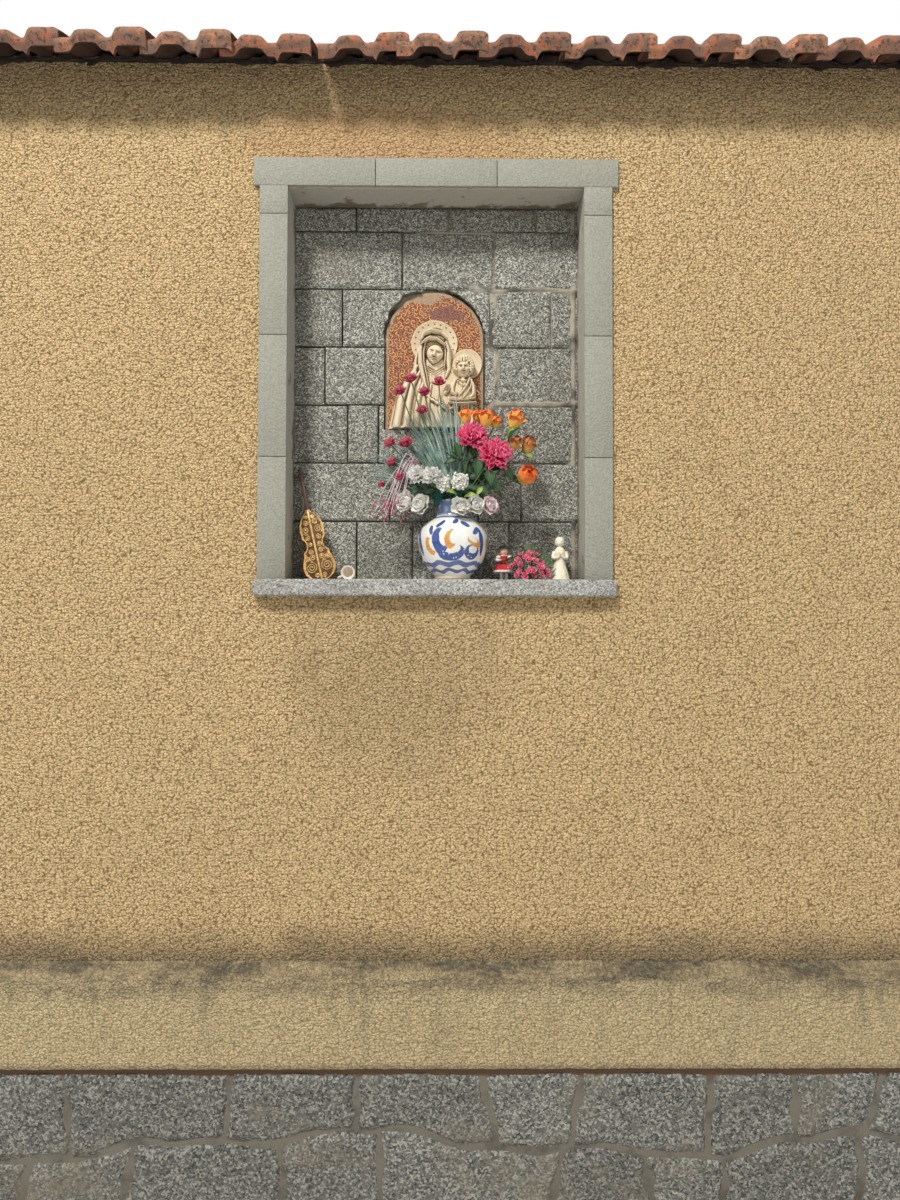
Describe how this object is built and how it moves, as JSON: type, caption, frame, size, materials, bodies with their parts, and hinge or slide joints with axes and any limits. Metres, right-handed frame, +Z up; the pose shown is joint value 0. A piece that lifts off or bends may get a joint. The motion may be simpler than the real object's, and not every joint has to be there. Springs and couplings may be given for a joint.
{
  "type": "wayside shrine in a roughcast wall",
  "caption": "Wayside shrine: a framed granite niche in a roughcast garden wall with a tiled coping, an arched devotional relief and votive offerings on its sill.",
  "frame": {"origin": "on the ground, at the centre of the wall's footprint, under the middle of the niche", "axes": "+Z up; the niche faces -Y; +X to the right as seen from the front"},
  "size_m": [2.6, 0.645, 2.9634],
  "materials": {
    "rubble_stone": "rough granite rubble in lime mortar",
    "band_render": "creamy yellow render with dirt and lichen",
    "ochre_roughcast": "thrown roughcast, yellow ochre",
    "bed_mortar": "dark weathered mortar",
    "clay_tile": "orange-red fired clay with grey lichen",
    "granite_blocks": "coarse granite blocks with pale mortar",
    "niche_plaster": "worn lime plaster",
    "sill_granite": "worn granite",
    "strip_stone": "fine pebbled grey-green stone",
    "painted_ground": "chipped red-brown paint with gold scrolls",
    "relief_cream": "cream fired clay, smooth and slightly dirty",
    "white_glaze": "white glaze with ochre and blue brush strokes",
    "green_foam": "crumbly flower foam",
    "green_stem": "wrapped wire stems",
    "pink_silk": "faded pink silk petals",
    "orange_silk": "orange silk petals",
    "white_silk": "white silk petals",
    "red_silk": "dark red silk florets",
    "grey_green_blade": "thin grey-green plastic blades",
    "green_leaf": "dark green leaves with veins",
    "gold_filigree": "dull gold filigree over a dark ground",
    "brown_wood": "brown stained wood",
    "white_pottery": "off-white glaze",
    "red_cloth": "red cloth with a white hem",
    "white_plaster": "white painted plaster"
  },
  "bodies": {
    "root": {"stone_base": "rubble_stone", "front_plinth_band": "band_render", "back_plinth_band": "band_render", "masonry_core": "rubble_stone", "front_wall_below": "ochre_roughcast", "front_wall_left": "ochre_roughcast", "front_wall_right": "ochre_roughcast", "front_wall_above": "ochre_roughcast", "back_render": "ochre_roughcast", "coping_bed": "bed_mortar", "front_tiles": "clay_tile", "back_tiles": "clay_tile", "ridge_tiles": "clay_tile", "niche_back": "granite_blocks", "left_reveal": "niche_plaster", "right_reveal": "niche_plaster", "soffit": "niche_plaster", "sill": "sill_granite", "lintel_strip_left": "strip_stone", "lintel_strip_middle": "strip_stone", "lintel_strip_right": "strip_stone", "left_jamb_strips": "strip_stone", "right_jamb_strips": "strip_stone", "relief_panel": "painted_ground", "mother_halo": "relief_cream", "mother_figure": "relief_cream", "child_halo": "relief_cream", "child_figure": "relief_cream", "vase": "white_glaze", "flower_foam": "green_foam", "flower_stems": "green_stem", "peonies": "pink_silk", "orange_roses": "orange_silk", "white_blossoms": "white_silk", "red_buds": "red_silk", "grass_spray": "grey_green_blade", "bouquet_leaves": "green_leaf", "violin_body": "gold_filigree", "violin_neck": "brown_wood", "cup": "white_pottery", "doll": "red_cloth", "posy": "pink_silk", "statuette": "white_plaster"}
  },
  "joints": []
}
